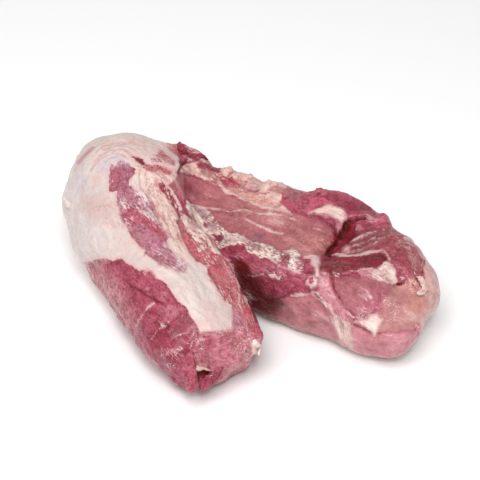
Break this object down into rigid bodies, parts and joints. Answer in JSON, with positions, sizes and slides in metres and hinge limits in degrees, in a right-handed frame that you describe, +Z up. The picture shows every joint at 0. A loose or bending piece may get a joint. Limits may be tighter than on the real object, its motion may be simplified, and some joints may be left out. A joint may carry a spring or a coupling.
{
  "type": "raw boneless pork loin",
  "caption": "Whole raw boneless pork loin folded once on itself, with a fat cap over one limb and the bared muscles of the other.",
  "frame": {"origin": "on the surface that the loin lies on, under the middle of its bounding box", "axes": "+Z up, +X along the longest side towards the rump end, -Y towards the cut end of the shoulder limb"},
  "size_m": [0.3393, 0.2729, 0.1171],
  "materials": {
    "meat": "moist raw pork, pink lean with cream fat"
  },
  "bodies": {
    "root": {"loin": "meat"}
  },
  "joints": []
}
